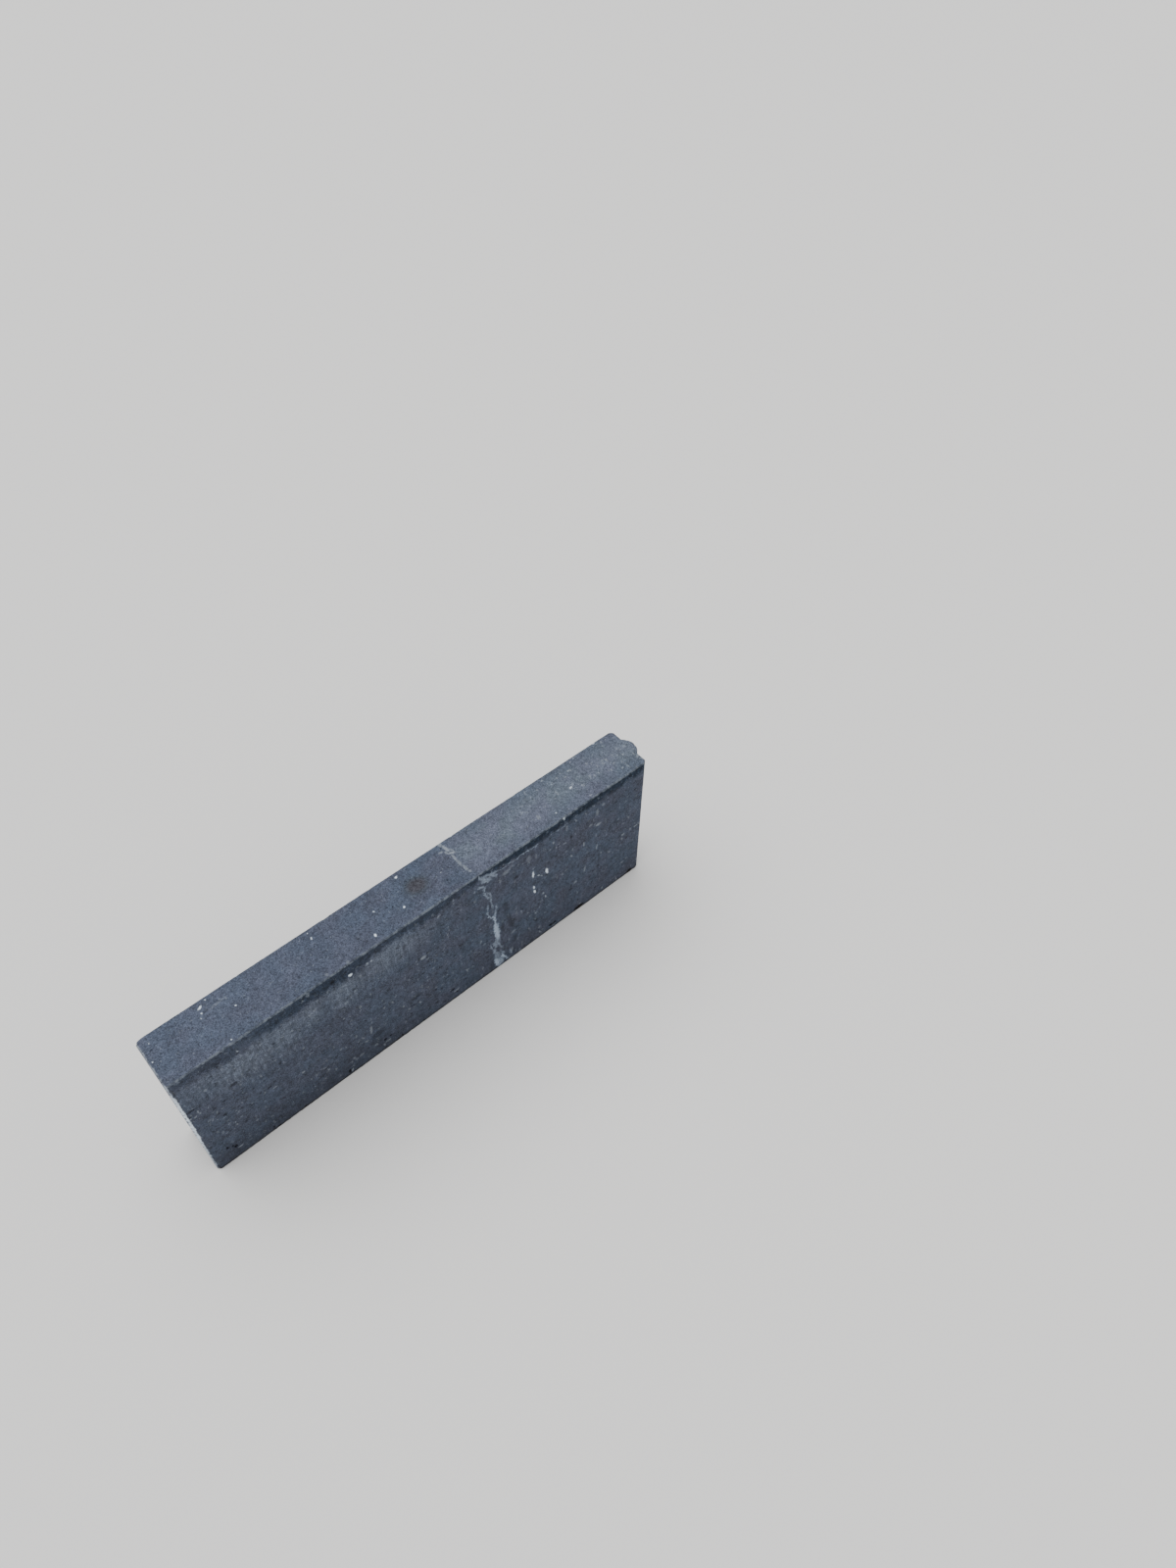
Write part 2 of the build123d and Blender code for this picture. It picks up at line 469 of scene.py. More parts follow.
# Hollows in the top face: x, y, half length, half width, depth
TOP_PITS = (
    (-286.0, 12.0, 1.4, 1.2, 0.9),
    (-33.5, -3.5, 1.3, 1.5, 0.9),
    (-126.0, 18.5, 1.0, 1.0, 0.5),
    (-178.0, 2.5, 1.2, 1.0, 0.5),
    (222.0, 2.5, 2.0, 1.2, 0.8),
    (226.5, 3.0, 0.9, 1.6, 0.8),
    (214.0, -6.5, 2.4, 1.4, 0.6),
    (246.5, -5.0, 1.6, 1.4, 0.7),
    (106.0, 12.0, 1.2, 1.4, 0.6),
    (221.0, -21.0, 2.2, 1.6, 0.5),
)


def stronger(rows, gain, most=1.0):
    """The same marks with their strength, the last value, raised to at most so much."""
    return [row[:-1] + (min(most, row[-1] * gain),) for row in rows]


def resized(rows, factor):
    """The same marks with their two half sizes scaled."""
    return [row[:2] + (row[2] * factor, row[3] * factor) + row[4:] for row in rows]


class Paint:
    """The nodes of one material under short names. Places are in millimetres on the stone."""

    def __init__(self, material):
        material.use_nodes = True
        self.tree = material.node_tree
        self.shader = self.tree.nodes["Principled BSDF"]
        metres = self.add("ShaderNodeTexCoord").outputs["Object"]
        self.place = self.vector("MULTIPLY", metres, (1 / MM, 1 / MM, 1 / MM))
        split = self.add("ShaderNodeSeparateXYZ")
        self.feed(split.inputs[0], self.place)
        self.x, self.y, self.z = split.outputs

    def add(self, kind, **settings):
        node = self.tree.nodes.new(kind)
        for name, value in settings.items():
            setattr(node, name, value)
        return node

    def feed(self, socket, value):
        """Links another socket, or sets a plain value."""
        if isinstance(value, bpy.types.NodeSocket):
            self.tree.links.new(value, socket)
        else:
            socket.default_value = value

    def math(self, operation, *values):
        node = self.add("ShaderNodeMath", operation=operation)
        for socket, value in zip(node.inputs, values):
            self.feed(socket, value)
        return node.outputs[0]

    def vector(self, operation, *values):
        node = self.add("ShaderNodeVectorMath", operation=operation)
        for socket, value in zip(node.inputs, values):
            self.feed(socket, value)
        return node.outputs["Value" if operation == "LENGTH" else "Vector"]

    def product(self, first, *others):
        for other in others:
            first = self.math("MULTIPLY", first, other)
        return first

    def strongest(self, first, *others):
        for other in others:
            first = self.math("MAXIMUM", first, other)
        return first

    def fade(self, value, start, end, before=0.0, after=1.0):
        """One value before start and another after end, with a soft change between."""
        node = self.add("ShaderNodeMapRange", interpolation_type="SMOOTHSTEP", clamp=False)
        self.feed(node.inputs["Value"], value)
        self.feed(node.inputs["From Min"], start)
        self.feed(node.inputs["From Max"], end)
        self.feed(node.inputs["To Min"], before)
        self.feed(node.inputs["To Max"], after)
        return node.outputs["Result"]

    def noise(self, size, detail=2.0, roughness=0.5, stretch=(1, 1, 1), shift=0.0):
        """Clouds between 0 and 1, about so many millimetres across, stretched along the axes."""
        node = self.add("ShaderNodeTexNoise")
        scale = tuple(1 / (size * factor) for factor in stretch)
        self.feed(node.inputs["Vector"], self.vector("MULTIPLY_ADD", self.place, scale, (shift,) * 3))
        node.inputs["Scale"].default_value = 1.0
        node.inputs["Detail"].default_value = detail
        node.inputs["Roughness"].default_value = roughness
        return node.outputs["Fac"]

    def grains(self, place, size, radius, share, stretch=(1, 1, 1), shift=0.0):
        """Grains in a share of the cells, each cell of the given size, stretched along the axes."""
        node = self.add("ShaderNodeTexVoronoi")
        scale = tuple(1 / (size * factor) for factor in stretch)
        self.feed(node.inputs["Vector"], self.vector("MULTIPLY_ADD", place, scale, (shift,) * 3))
        node.inputs["Scale"].default_value = 1.0
        split = self.add("ShaderNodeSeparateColor")
        self.feed(split.inputs[0], node.outputs["Color"])
        chosen = self.fade(split.outputs[0], share, share * 0.7)
        return self.product(chosen, self.fade(node.outputs["Distance"], radius / size, 0.5 * radius / size))

    def curve(self, value, points):
        """A smooth line through points, each a place and a height."""
        start, end = points[0][0], points[-1][0]
        low = min(height for _, height in points)
        high = max(height for _, height in points)
        node = self.add("ShaderNodeFloatCurve")
        line = node.mapping.curves[0]
        for _ in points[2:]:
            line.points.new(0.5, 0.5)
        for handle, (place, height) in zip(line.points, points):
            handle.location = ((place - start) / (end - start), (height - low) / (high - low))
        node.mapping.update()
        along = self.add("ShaderNodeMapRange")
        self.feed(along.inputs["Value"], value)
        self.feed(along.inputs["From Min"], start)
        self.feed(along.inputs["From Max"], end)
        self.feed(node.inputs["Value"], along.outputs["Result"])
        return self.math("MULTIPLY_ADD", node.outputs[0], high - low, low)

    def spot(self, place, centre, halves, strength, turn=0.0, axis="Y_AXIS"):
        """A soft-edged ellipsoid of the given strength, turned about its centre by so many degrees."""
        if turn:
            node = self.add("ShaderNodeVectorRotate", rotation_type=axis)
            self.feed(node.inputs["Vector"], place)
            node.inputs["Center"].default_value = centre
            node.inputs["Angle"].default_value = -math.radians(turn)
            place = node.outputs[0]
        scale = tuple(1 / half for half in halves)
        shift = tuple(-middle / half for middle, half in zip(centre, halves))
        reach = self.vector("LENGTH", self.vector("MULTIPLY_ADD", place, scale, shift))
        return self.fade(reach, SPOT_CORE, SPOT_RIM, strength, 0.0)

    def front_marks(self, place, rows):
        """Marks on the front face, turned clockwise as seen from the front."""
        found = 0.0
        for x, z, half_x, half_z, turn, strength in rows:
            centre = (x, -HALF_THICKNESS, z)
            mark = self.spot(place, centre, (half_x, MARK_REACH, half_z), strength, turn)
            found = self.strongest(found, mark)
        return found

    def top_marks(self, place, rows):
        """Marks on the top face, turned anticlockwise as seen from above."""
        found = 0.0
        for x, y, half_x, half_y, turn, strength in rows:
            centre = (x, y, HEIGHT)
            mark = self.spot(place, centre, (half_x, half_y, MARK_REACH), strength, turn, "Z_AXIS")
            found = self.strongest(found, mark)
        return found

    def strokes(self, place, rows):
        """Straight strokes on the front face, from one place to another."""
        marks = []
        for x0, z0, x1, z1, half_width, strength in rows:
            half_length = math.hypot(x1 - x0, z1 - z0) / 2 + half_width
            turn = math.degrees(math.atan2(x1 - x0, z1 - z0))
            marks.append(((x0 + x1) / 2, (z0 + z1) / 2, half_width, half_length, turn, strength))
        return self.front_marks(place, marks)

    def mix(self, factor, first, second):
        """From the first colour to the second."""
        node = self.add("ShaderNodeMix", data_type="RGBA")
        self.feed(node.inputs[0], factor)
        self.feed(node.inputs[6], first)
        self.feed(node.inputs[7], second)
        return node.outputs[2]

    def shade(self, colour, factor):
        """A colour made lighter or darker."""
        node = self.add("ShaderNodeVectorMath", operation="SCALE")
        self.feed(node.inputs["Vector"], colour)
        self.feed(node.inputs["Scale"], factor)
        return node.outputs["Vector"]

    def shaken(self, size, reach):
        """Places moved at random by up to about so many millimetres, so that outlines turn ragged."""
        node = self.add("ShaderNodeTexNoise")
        self.feed(node.inputs["Vector"], self.place)
        node.inputs["Scale"].default_value = 1 / size
        node.inputs["Detail"].default_value = 2.0
        swing = 4 * reach
        moved = self.vector("MULTIPLY_ADD", node.outputs["Color"], (swing,) * 3, (-swing / 2,) * 3)
        return self.vector("ADD", moved, self.place)

    def attribute(self, name):
        node = self.add("ShaderNodeAttribute", attribute_name=name)
        return node.outputs["Fac"]


def concrete_material():
    """Dark concrete with its grain, dust, lime, specks and worn edges, with painted highlights on the top
    arrises and painted shade in the hollows and towards the ground.
    """
    material = bpy.data.materials.new("concrete")
    paint = Paint(material)
    shader = paint.shader

    # Where a place is: on the front face, on the top face, and along the edges
    front = paint.fade(paint.y, -28.9, -28.3, 1.0, 0.0)
    top = paint.fade(paint.z, HEIGHT - 2.0, HEIGHT - 1.0)
    shaken = paint.shaken(1.8, 0.65)
    torn = paint.shaken(2.6, 1.9)

    # Grain
    fine = paint.noise(1.2, 2.0, 0.65)
    coarse = paint.noise(4.5, 3.0, 0.6, shift=3.0)
    cloud = paint.noise(26.0, 4.0, 0.55, shift=7.0)
    tint = paint.noise(34.0, 2.0, 0.5, shift=11.0)
    runs = paint.noise(3.0, 3.0, 0.6, (1.0, 1.0, 8.0), shift=5.0)
    sand = paint.grains(paint.place, 5.0, 0.9, 0.30)
    sand = paint.strongest(sand, paint.grains(paint.place, 2.7, 0.6, 0.30, shift=9.0))

    # Base
    spread = paint.fade(paint.x, -110.0, 10.0, 0.30, 0.5)
    low_tint, high_tint = paint.math("SUBTRACT", 0.5, spread), paint.math("ADD", 0.5, spread)
    colour = paint.mix(paint.fade(tint, 0.35, 0.65, low_tint, high_tint), BLUE_GREY, BROWN_GREY)
    colour = paint.shade(colour, paint.fade(cloud, 0.3, 0.7, 0.91, 1.09))

    # Top face: the dusty far zone, the near zone, the stain
    far_zone = paint.product(top, paint.fade(paint.math("MULTIPLY_ADD", coarse, 8.0, paint.x), 44.0, 66.0))
    near_zone = paint.product(top, paint.fade(paint.x, -240.0, -60.0, 0.14, 0.06))
    colour = paint.shade(colour, paint.math("ADD", near_zone, 1.0))
    off_middle = paint.math("ABSOLUTE", paint.math("SUBTRACT", paint.y, 1.0))
    off_middle = paint.math("ADD", off_middle, paint.math("MULTIPLY_ADD", cloud, 16.0, -8.0))
    dusty = paint.product(far_zone, paint.fade(off_middle, 3.0, 27.0, 0.46, 0.20))
    dust = paint.mix(paint.fade(tint, 0.38, 0.62), GREEN_DUST, BLUE_DUST)
    colour = paint.mix(dusty, colour, dust)
    halo = paint.spot(shaken, STAIN, (17.0, 15.0, MARK_REACH), 0.75)
    colour = paint.mix(halo, colour, MOSS_GREY)
    core = paint.spot(shaken, STAIN, (12.5, 10.0, MARK_REACH), 0.85)
    colour = paint.mix(core, colour, RUST_BROWN)

    # Front face: dark strip, bloom, and painted shade towards its foot
    foot = paint.curve(paint.x, STRIP_FOOT)
    wavy = paint.math("MULTIPLY_ADD", paint.noise(8.0, 4.0, 0.7, (1, 1, 2), shift=2.0), 26.0, -13.0)
    foot = paint.math("ADD", foot, wavy)
    below = paint.math("SUBTRACT", paint.z, foot)
    strip = paint.product(
        front,
        paint.fade(below, -4.0, 4.5),
        paint.curve(paint.x, STRIP_DARKNESS),
        paint.fade(coarse, 0.35, 0.65, 1.0, 0.80),
    )
    bloom_low = paint.math("SUBTRACT", paint.z, paint.curve(paint.x, BLOOM_FOOT))
    bloom_low = paint.math("ADD", bloom_low, paint.math("MULTIPLY_ADD", runs, 44.0, -22.0))
    bloom = paint.product(
        front,
        paint.fade(bloom_low, -20.0, 28.0),
        paint.fade(below, -9.0, 1.0, 1.0, 0.0),
        paint.curve(paint.x, BLOOM_STRENGTH),
        paint.fade(runs, 0.3, 0.62, 0.5, 1.0),
    )
    colour = paint.mix(paint.product(bloom, 0.66), colour, DUST)
    colour = paint.mix(strip, colour, STRIP_BLUE)
    # Painted shade: the front face darker towards the ground, most at the left end
    low = paint.product(front, paint.fade(paint.z, 10.0, 75.0, 1.0, 0.0))
    left = paint.fade(paint.x, -160.0, 60.0, 0.26, 0.07)
    colour = paint.shade(colour, paint.math("SUBTRACT", 1.0, paint.product(low, left)))
    streaky = paint.product(front, paint.math("SUBTRACT", runs, 0.5))
    colour = paint.shade(colour, paint.math("MULTIPLY_ADD", streaky, 0.5, 1.0))

    # Pale scuffs and dark pocks, most on the upright faces and at the far end of the top
    upright = paint.math("SUBTRACT", 1.0, top)
    worn_far = paint.product(top, paint.fade(paint.x, 90.0, 220.0, 0.08, 0.50))
    scuffs = paint.grains(torn, 6.5, 2.0, 0.36, (1.0, 1.0, 1.7), shift=4.0)
    scuffs = paint.strongest(scuffs, paint.grains(torn, 5.5, 1.5, 0.34, (1.6, 1.0, 1.0), shift=21.0))
    rough_area = paint.fade(paint.noise(60.0, 2.0, 0.5, shift=17.0), 0.42, 0.6, 0.14, 0.38)
    pocks = paint.grains(torn, 8.0, 2.4, 0.40, (1.3, 1.0, 1.0), shift=14.0)
    scuffed = paint.math("ADD", paint.product(upright, rough_area), worn_far)
    colour = paint.mix(paint.product(scuffs, scuffed), colour, PALE)
    colour = paint.shade(colour, paint.math("SUBTRACT", 1.0, paint.product(upright, pocks, 0.46)))

    # Grain over all
    grain = paint.math("MULTIPLY_ADD", fine, 2.8, -0.4)
    mottle = paint.math("MULTIPLY_ADD", coarse, 1.7, 0.16)
    top_mottle = paint.math("MULTIPLY_ADD", coarse, 1.0, 0.5)
    grain = paint.product(grain, paint.fade(top, 0.0, 1.0, mottle, top_mottle))
    colour = paint.shade(colour, grain)
    colour = paint.mix(paint.product(sand, 0.34), colour, PALE)

    # Marks
    front_pale = stronger(FRONT_PALE, FRONT_PALE_GAIN)
    top_pale = stronger(TOP_PALE, TOP_PALE_GAIN) + stronger(TOP_LIME, TOP_LIME_GAIN, TOP_LIME_MOST)
    front_lime = stronger(UPPER_LIME, UPPER_LIME_GAIN, UPPER_LIME_MOST) + list(LOWER_LIME)
    front_white = stronger(FRONT_WHITE, FRONT_WHITE_GAIN)
    top_white = resized(stronger(TOP_WHITE, TOP_WHITE_GAIN), TOP_WHITE_SIZE)
    # Dark spots and drips, with soil and painted shade in the hollows at the foot
    dark = paint.front_marks(shaken, FRONT_DARK)
    colour = paint.shade(colour, paint.math("SUBTRACT", 1.0, dark))
    patchy = paint.fade(fine, 0.25, 0.6, 0.6, 1.0)
    pale = paint.strongest(paint.front_marks(shaken, front_pale), paint.top_marks(shaken, top_pale))
    colour = paint.mix(paint.product(pale, patchy), colour, PALE)
    lime = paint.product(
        paint.strokes(torn, front_lime),
        paint.fade(fine, 0.3, 0.6, 0.4, 1.0),
        paint.fade(runs, 0.3, 0.55, 0.6, 1.0),
        LIME_COVER,
    )
    colour = paint.mix(lime, colour, LIME)
    white = paint.strongest(paint.front_marks(shaken, front_white), paint.top_marks(shaken, top_white))
    colour = paint.mix(white, colour, WHITE)

    # Worn edges with painted highlights on the top arrises, and hollows with painted shade
    at_front = paint.fade(paint.y, -29.0, -27.6, 1.0, 0.0)
    from_end = paint.math("ADD", paint.x, HALF_LENGTH)
    wide = paint.product(paint.fade(paint.z, 190.0, 165.0), paint.fade(paint.z, 65.0, 95.0), 1.3)
    wide = paint.math("ADD", wide, paint.math("MULTIPLY_ADD", coarse, 4.0, -0.6))
    at_end = paint.fade(paint.math("SUBTRACT", from_end, wide), -0.3, 0.7, 1.0, 0.0)
    at_top = paint.fade(paint.z, HEIGHT - 2.4, HEIGHT - 1.2)
    # Pale along the top arrises: wear together with a painted highlight where light catches the edge
    worn_top_edge_and_highlight = paint.product(at_front, at_top, paint.fade(coarse, 0.4, 0.62, 0.12, 0.5))
    colour = paint.mix(worn_top_edge_and_highlight, colour, PALE)
    worn_corner_and_highlight = paint.product(at_end, at_top, paint.fade(coarse, 0.3, 0.6, 0.35, 0.85))
    colour = paint.mix(worn_corner_and_highlight, colour, PALE)
    by_height = paint.product(
        paint.fade(paint.z, 4.0, 90.0, 0.4, 1.0),
        paint.fade(paint.z, 165.0, 190.0, 1.0, 0.5),
    )
    around = paint.fade(paint.math("MULTIPLY_ADD", coarse, 12.0, paint.y), -21.5, -19.5, 1.0, 0.0)
    worn_end = paint.product(around, at_end, by_height, paint.fade(fine, 0.3, 0.5, 0.6, 1.0))
    colour = paint.mix(worn_end, colour, WHITE)
    broken = paint.product(
        paint.attribute("broken"),
        paint.fade(paint.z, 4.0, 20.0, 0.1, 0.5),
        paint.fade(coarse, 0.35, 0.65, 0.25, 1.0),
    )
    colour = paint.mix(broken, colour, BROKEN_GREY)
    # Painted shade: the hollows darker the deeper they are
    pitted = paint.fade(paint.attribute("pitted"), 0.15, 1.3, 0.0, 0.8)
    colour = paint.shade(colour, paint.math("SUBTRACT", 1.0, pitted))
    soil = paint.fade(paint.math("MULTIPLY_ADD", coarse, -9.0, paint.z), -4.0, 2.0, 0.75, 0.0)
    colour = paint.mix(soil, colour, SOIL)

    paint.feed(shader.inputs["Base Color"], colour)
    paint.feed(shader.inputs["Roughness"], paint.fade(coarse, 0.3, 0.7, 0.82, 0.96))
    shader.inputs["Specular IOR Level"].default_value = SHEEN

    # Relief of the sand
    relief = paint.math("ADD", paint.product(fine, 0.6), paint.product(coarse, 0.4))
    relief = paint.math("ADD", relief, paint.product(sand, 0.4))
    bump = paint.add("ShaderNodeBump")
    bump.inputs["Strength"].default_value = BUMP_STRENGTH
    bump.inputs["Distance"].default_value = BUMP_HEIGHT * MM
    paint.feed(bump.inputs["Height"], relief)
    paint.feed(shader.inputs["Normal"], bump.outputs["Normal"])
    return material


def smooth_step(value, low, high):
    """0 below low, 1 above high, with a soft curve between."""
    t = min(max((value - low) / (high - low), 0.0), 1.0)
    return t * t * (3.0 - 2.0 * t)


def stations(length, step):
    """Places from 0 to length, close together at both ends."""
    near = [0.0]
    for gap in EDGE_ROWS:
        near.append(near[-1] + gap)
    start = near[-1]
    count = max(1, round((length - 2 * start) / step))
    middle = [start + (length - 2 * start) * i / count for i in range(1, count)]
    far = [length - place for place in reversed(near)]
    return near + middle + far


def corner_cut(y, chamfer):
    """How far a chamfered upright corner stands back from its end face."""
    return max(0.0, abs(y) - (HALF_THICKNESS - chamfer))


def plain_end_x(y):
    """The plain end's face, seen from above."""
    return -HALF_LENGTH + corner_cut(y, PLAIN_END_CHAMFER)


def tongue_end_x(y):
    """The tongue end's face, seen from above."""
    if abs(y) < HALF_TONGUE:
        drop = NOSE_RADIUS - math.sqrt(NOSE_RADIUS**2 - y * y)
        return HALF_LENGTH - drop
    return SHOULDER - corner_cut(y, TONGUE_END_CHAMFER)


def block_point(u, y, z):
    """A point of the plain block: u runs from 0 at the plain end to 1 at the tongue end."""
    low = plain_end_x(y)
    return Vector((low + (tongue_end_x(y) - low) * u, y, z))


def block_mesh():
    """A closed grid over the whole block, finer beside its edges."""
    length = 2 * HALF_LENGTH
    us = [place / length for place in stations(length, GRID_X)]
    root = [sign * (HALF_TONGUE + off) for sign in (-1, 1) for off in (-1.2, -0.5, 0.0, 0.6, 1.4)]
    ys = [place - HALF_THICKNESS for place in stations(2 * HALF_THICKNESS, GRID_Y)]
    ys = sorted([y for y in ys if all(abs(y - r) > 0.5 for r in root)] + root)
    zs = stations(HEIGHT, GRID_Z)
    mesh = bmesh.new()
    made = {}
    last = (len(us) - 1, len(ys) - 1, len(zs) - 1)

    def corner(i, j, k):
        if (i, j, k) not in made:
            made[(i, j, k)] = mesh.verts.new(block_point(us[i], ys[j], zs[k]))
        return made[(i, j, k)]

    def sheet(fixed, at, first, second, flip):
        """One side of the block, as a sheet of quads."""
        def place(a, b):
            index = [0, 0, 0]
            index[fixed], index[first], index[second] = at, a, b
            return corner(*index)

        for a in range(last[first]):
            for b in range(last[second]):
                ring = [place(a, b), place(a + 1, b), place(a + 1, b + 1), place(a, b + 1)]
                mesh.faces.new(ring[::-1] if flip else ring)

    sheet(1, 0, 0, 2, False)
    sheet(1, last[1], 0, 2, True)
    sheet(0, 0, 1, 2, True)
    sheet(0, last[0], 1, 2, False)
    sheet(2, 0, 0, 1, True)
    sheet(2, last[2], 0, 1, False)
    return mesh


def refine(mesh, spots):
    """Splits the faces near each spot, a centre and a reach, so that a small hollow has a round shape."""
    wanted = set()
    for face in mesh.faces:
        centre = face.calc_center_median()
        for spot, reach in spots:
            if abs(centre.x - spot.x) < reach and (centre - spot).length < reach:
                wanted.add(face)
                break
    edges = list({edge for face in wanted for edge in face.edges})
    bmesh.ops.subdivide_edges(mesh, edges=edges, cuts=2, use_grid_fill=True)


def scattered_pits(generator, count, half_length, low, high):
    """Small blow holes left by air in the mould: place along, place across, two half widths and depth."""
    pits = []
    for _ in range(count):
        size = generator.uniform(0.8, 1.5)
        along = generator.uniform(-half_length, half_length)
        across = generator.uniform(low, high)
        pits.append((along, across, size, size * generator.uniform(0.8, 1.3), size * 0.6))
    return pits


def pit_depth(a, b, pits):
    """How deep the surface lies at a, b because of the pits."""
    depth = 0.0
    for centre_a, centre_b, half_a, half_b, deep in pits:
        if abs(a - centre_a) > 1.6 * half_a or abs(b - centre_b) > 1.6 * half_b:
            continue
        ragged = 0.22 * noise.noise(Vector((a, b, centre_a)) * 0.7)
        reach = math.hypot((a - centre_a) / half_a, (b - centre_b) / half_b) + ragged
        depth = max(depth, deep * (1.0 - smooth_step(reach, 0.35, 1.15)))
    return depth


def chips(point, period, level, most):
    """Random bites out of an edge: none below the level, at most so deep."""
    value = noise.noise(point / period) + 0.35 * noise.noise(point / (period * 0.3))
    return most * smooth_step(value, level, level + 0.45)


def worn(point, front_pits, back_pits, top_pits, end_pits):
    """Where a point of the plain block lies once worn, and how broken and how pitted it is."""
    x, y, z = point
    low_end, high_end = plain_end_x(y), tongue_end_x(y)
    gaps = {
        "plain": x - low_end,
        "tongue": high_end - x,
        "front": y + HALF_THICKNESS,
        "back": HALF_THICKNESS - y,
        "bottom": z,
        "top": HEIGHT - z,
    }
    slope = (tongue_end_x(y + 0.05) - tongue_end_x(y - 0.05)) / 0.1
    inward = {
        "plain": Vector((1, 0, 0)),
        "tongue": Vector((-1, slope, 0)).normalized(),
        "front": Vector((0, 1, 0)),
        "back": Vector((0, -1, 0)),
        "bottom": Vector((0, 0, 1)),
        "top": Vector((0, 0, -1)),
    }
    touching = [side for side, gap in gaps.items() if gap < TOUCHING]
    moved = Vector(point)
    pitted = 0.0
    wave = 0.16 * noise.noise(point / 45.0) + 0.07 * noise.noise(point / 11.0)
    wave += 0.03 * noise.noise(point / 4.0)
    pits_on = {
        "front": (x, z, front_pits),
        "back": (x, z, back_pits),
        "top": (x, y, top_pits),
        "plain": (y, z, end_pits),
    }
    for side in touching:
        hollow = pit_depth(*pits_on[side]) if side in pits_on else 0.0
        pitted = max(pitted, hollow)
        moved += inward[side] * (max(SKIN + wave, LEAST_SKIN) + hollow)

    rough = 0.5 + 0.5 * noise.noise(point / 2.4)
    corner_break = BACK_CORNER_BREAK * smooth_step(z, BREAK_FROM, BREAK_FULL)
    legs = {
        ("top", "front"): TOP_ARRIS + 0.3 * rough + chips(point, 16.0, 0.42, 1.8),
        ("top", "back"): TOP_ARRIS + 0.4 * rough + chips(point, 14.0, 0.45, 1.2),
        ("top", "plain"): TOP_ARRIS + 0.5 * rough + chips(point, 9.0, 0.2, 1.8),
        ("top", "tongue"): TOP_ARRIS + 0.5 * rough + chips(point, 9.0, 0.25, 1.8),
        ("bottom", "front"): 0.6 + 0.6 * rough + chips(point, 12.0, 0.5, 0.9),
        ("bottom", "back"): 0.6 + 0.6 * rough + chips(point, 12.0, 0.35, 2.4),
        ("bottom", "plain"): 0.8 + 0.6 * rough + chips(point, 9.0, 0.25, 2.4),
        ("bottom", "tongue"): 0.8 + 0.6 * rough + chips(point, 9.0, 0.25, 2.4),
        ("front", "plain"): 0.5 + 0.8 * rough + chips(point, 8.0, 0.1, 2.2),
        ("back", "plain"): 0.5 + 0.8 * rough + chips(point, 8.0, 0.2, 2.0) + corner_break,
        ("front", "tongue"): 0.5 + 0.6 * rough + chips(point, 9.0, 0.25, 1.6),
        ("back", "tongue"): 0.5 + 0.6 * rough + chips(point, 9.0, 0.25, 1.6),
    }
    broken = 0.0
    for (first, second), leg in legs.items():
        short = leg - (gaps[first] + gaps[second])
        if short > 0.0:
            moved += (inward[first] + inward[second]) * (short / 2)
            broken = max(broken, min(1.0, short / 2.5))
    return moved, broken, pitted


def stone_object():
    """The whole stone as one detailed piece."""
    generator = random.Random(SEED)
    inner = HALF_LENGTH - PIT_MARGIN
    front_pits = list(FRONT_PITS) + scattered_pits(generator, FRONT_PIT_COUNT, inner, 4.0, 178.0)
    back_pits = scattered_pits(generator, BACK_PIT_COUNT, inner, 6.0, 192.0)
    top_pits = list(TOP_PITS) + scattered_pits(generator, TOP_PIT_COUNT, inner, -25.0, 25.0)
    end_pits = [
        (generator.uniform(-24, 24), generator.uniform(8, 190), 1.6, 1.6, 0.9)
        for _ in range(END_PIT_COUNT)
    ]
    spots = [(Vector((a, -HALF_THICKNESS, b)), max(ha, hb) * 1.3 + 1.2) for a, b, ha, hb, _ in front_pits]
    spots += [(Vector((a, HALF_THICKNESS, b)), max(ha, hb) * 1.3 + 1.0) for a, b, ha, hb, _ in back_pits]
    spots += [(Vector((a, b, HEIGHT)), max(ha, hb) * 1.3 + 1.0) for a, b, ha, hb, _ in top_pits]

    shape = block_mesh()
    refine(shape, spots)
    broken_layer = shape.verts.layers.float.new("broken")
    pitted_layer = shape.verts.layers.float.new("pitted")
    for vert in shape.verts:
        place, broken, pitted = worn(vert.co, front_pits, back_pits, top_pits, end_pits)
        vert[broken_layer] = broken
        vert[pitted_layer] = pitted
        vert.co = place
    for vert in shape.verts:
        vert.co *= MM
    bmesh.ops.triangulate(shape, faces=shape.faces)
    data = bpy.data.meshes.new("cast_stone")
    shape.to_mesh(data)
    shape.free()
    for polygon in data.polygons:
        polygon.use_smooth = True
    stone = bpy.data.objects.new("cast_stone", data)
    bpy.context.scene.collection.objects.link(stone)
    print("triangles", len(data.polygons))
    return stone


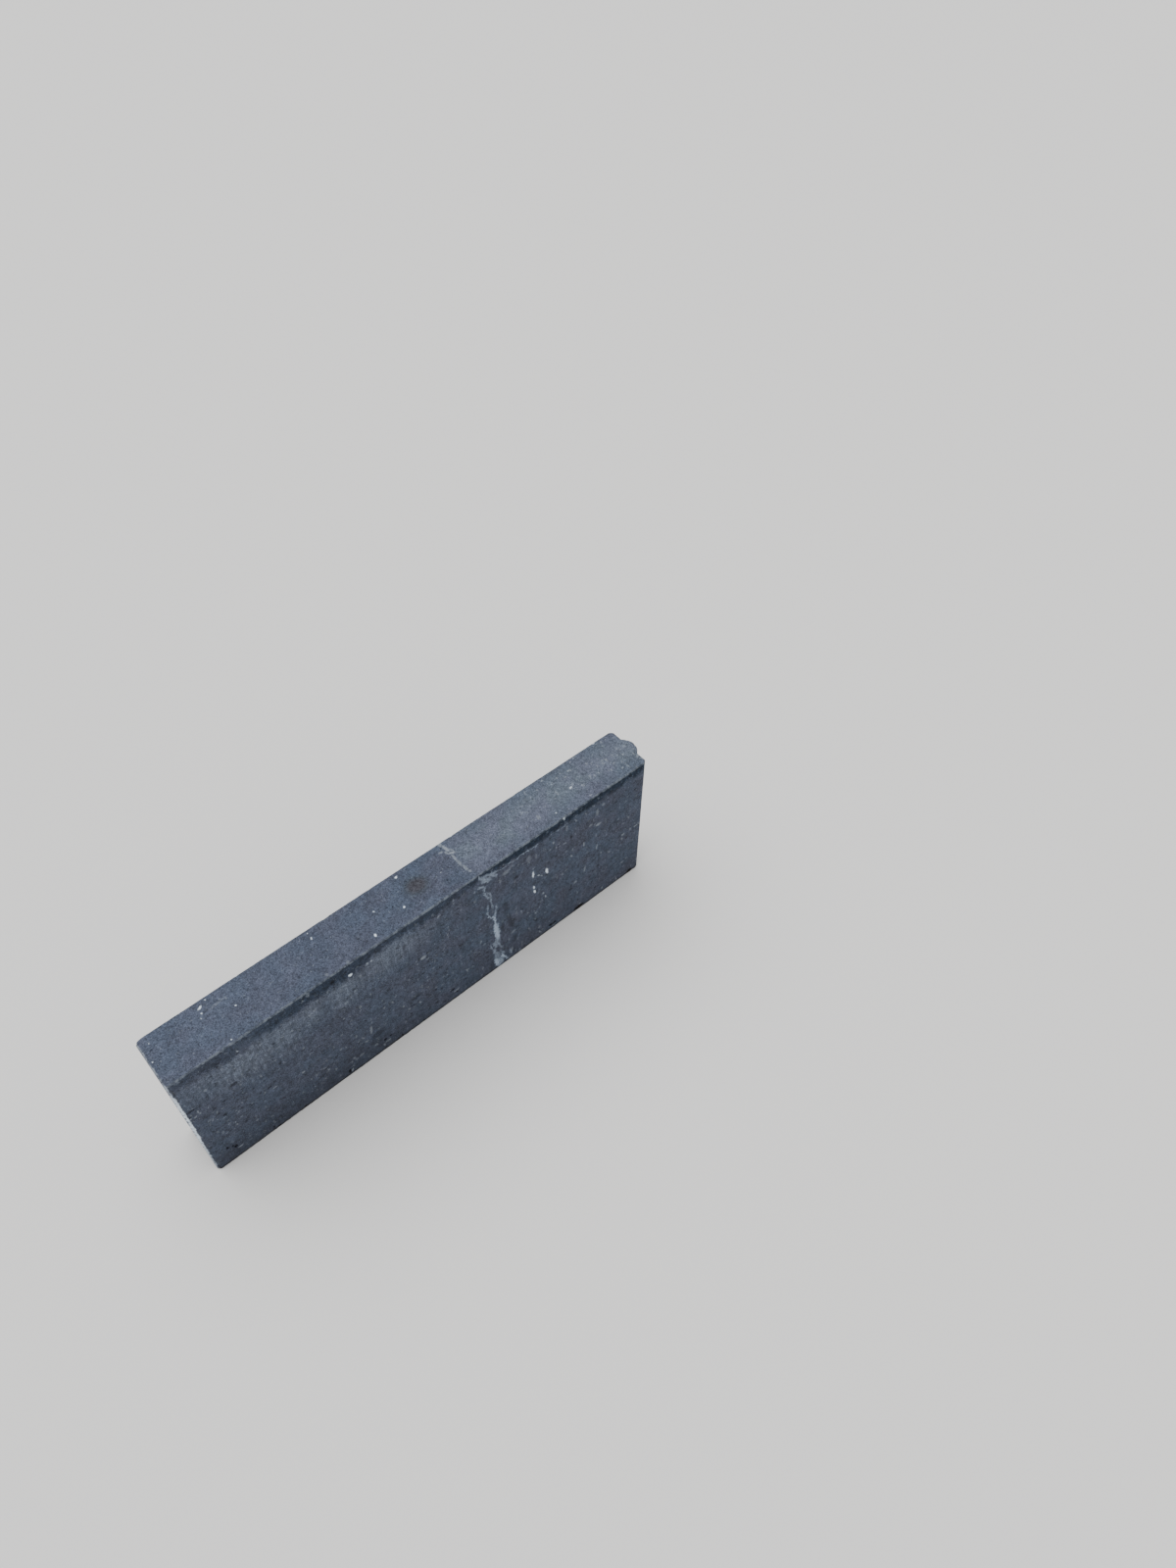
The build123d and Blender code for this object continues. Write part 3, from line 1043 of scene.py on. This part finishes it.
def make_camera():
    """The photograph's camera."""
    azimuth = math.radians(CAMERA_AZIMUTH)
    elevation = math.radians(CAMERA_ELEVATION)
    roll = math.radians(CAMERA_ROLL)
    level = math.cos(elevation)
    forward = Vector((level * math.sin(azimuth), level * math.cos(azimuth), -math.sin(elevation)))
    level_right = forward.cross(Vector((0, 0, 1))).normalized()
    level_up = level_right.cross(forward)
    right = level_right * math.cos(roll) + level_up * math.sin(roll)
    up = level_up * math.cos(roll) - level_right * math.sin(roll)
    data = bpy.data.cameras.new("camera")
    data.lens = CAMERA_LENS
    data.sensor_width = SENSOR_LONG_SIDE
    data.clip_start = 0.01
    camera = bpy.data.objects.new("camera", data)
    turn = Matrix((right, up, -forward)).transposed()
    camera.matrix_world = Matrix.Translation(CAMERA_PLACE) @ turn.to_4x4()
    bpy.context.scene.collection.objects.link(camera)
    bpy.context.scene.camera = camera


def make_light():
    """Even light from a wide soft source overhead, in a pale room."""
    world = bpy.data.worlds.new("room")
    world.use_nodes = True
    background = world.node_tree.nodes["Background"]
    background.inputs["Color"].default_value = (1.0, 1.0, 1.0, 1.0)
    background.inputs["Strength"].default_value = ROOM_STRENGTH
    bpy.context.scene.world = world
    data = bpy.data.lights.new("overhead", "SUN")
    data.angle = math.radians(SKY_ANGLE)
    data.energy = SKY_STRENGTH
    lamp = bpy.data.objects.new("overhead", data)
    lamp.rotation_euler = (-SKY_FROM).to_track_quat("-Z", "Y").to_euler()
    bpy.context.scene.collection.objects.link(lamp)


def make_floor():
    """A plain pale floor."""
    half = FLOOR_HALF_SIZE
    corners = [(-half, -half, 0), (half, -half, 0), (half, half, 0), (-half, half, 0)]
    mesh = bpy.data.meshes.new("floor")
    mesh.from_pydata(corners, [], [(0, 1, 2, 3)])
    material = bpy.data.materials.new("floor")
    material.use_nodes = True
    shader = material.node_tree.nodes["Principled BSDF"]
    shader.inputs["Base Color"].default_value = FLOOR_COLOUR
    shader.inputs["Roughness"].default_value = 0.9
    mesh.materials.append(material)
    floor = bpy.data.objects.new("floor", mesh)
    bpy.context.scene.collection.objects.link(floor)


make_camera()
make_light()
make_floor()
stone = stone_object()
stone.data.materials.append(concrete_material())
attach(stone, BODY)
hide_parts(NODE)
